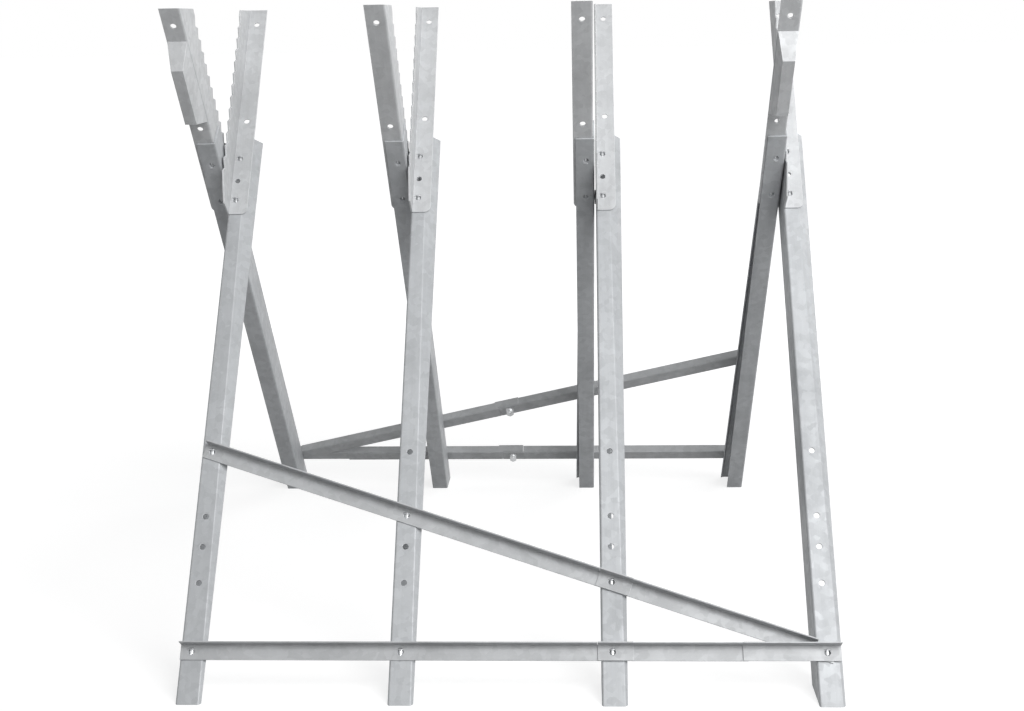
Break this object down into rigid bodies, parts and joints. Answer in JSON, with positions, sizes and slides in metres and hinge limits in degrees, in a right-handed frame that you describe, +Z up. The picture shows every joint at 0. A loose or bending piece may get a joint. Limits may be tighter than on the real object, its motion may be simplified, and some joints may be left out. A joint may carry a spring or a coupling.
{
  "type": "log saw stand",
  "caption": "Folding log saw stand of galvanised sheet steel: crossed legs with toothed arms that cradle a log for sawing, tied by angle rails and diagonals.",
  "frame": {"origin": "on the floor, at the middle of the stand's box", "axes": "+X along the log and the pivot line, +Y from the near feet to the far feet, +Z up"},
  "size_m": [0.7517, 0.835, 0.735],
  "materials": {
    "leg_steel": "galvanised, satin",
    "arm_steel": "galvanised, satin",
    "brace_steel": "galvanised, satin",
    "fastener_steel": "zinc plated, bright"
  },
  "bodies": {
    "front_frame": {"near_leg_1": "leg_steel", "near_leg_2": "leg_steel", "near_leg_3": "leg_steel", "near_leg_4": "leg_steel", "far_arm_1": "arm_steel", "far_arm_2": "arm_steel", "far_arm_3": "arm_steel", "far_arm_4": "arm_steel", "near_rail_left": "brace_steel", "near_rail_right": "brace_steel", "near_diagonal_upper": "brace_steel", "near_diagonal_lower": "brace_steel", "far_arm_bolts": "fastener_steel", "far_arm_nuts": "fastener_steel", "near_brace_bolts": "fastener_steel", "near_brace_nuts": "fastener_steel", "pivot_bolts": "fastener_steel", "pivot_nuts": "fastener_steel", "pivot_washers": "fastener_steel"},
    "rear_frame": {"far_leg_1": "leg_steel", "far_leg_2": "leg_steel", "far_leg_3": "leg_steel", "far_leg_4": "leg_steel", "near_arm_1": "arm_steel", "near_arm_2": "arm_steel", "near_arm_3": "arm_steel", "near_arm_4": "arm_steel", "far_rail_left": "brace_steel", "far_rail_right": "brace_steel", "far_diagonal_upper": "brace_steel", "far_diagonal_lower": "brace_steel", "end_bracket_left": "arm_steel", "end_bracket_right": "arm_steel", "near_arm_bolts": "fastener_steel", "near_arm_nuts": "fastener_steel", "far_brace_bolts": "fastener_steel", "far_brace_nuts": "fastener_steel"}
  },
  "joints": [
    {"name": "fold", "type": "hinge", "parent": "front_frame", "child": "rear_frame", "pos_m": [0, 0.00378, 0.49576], "axis": [1, 0, 0], "range_deg": [-70, 0]}
  ]
}
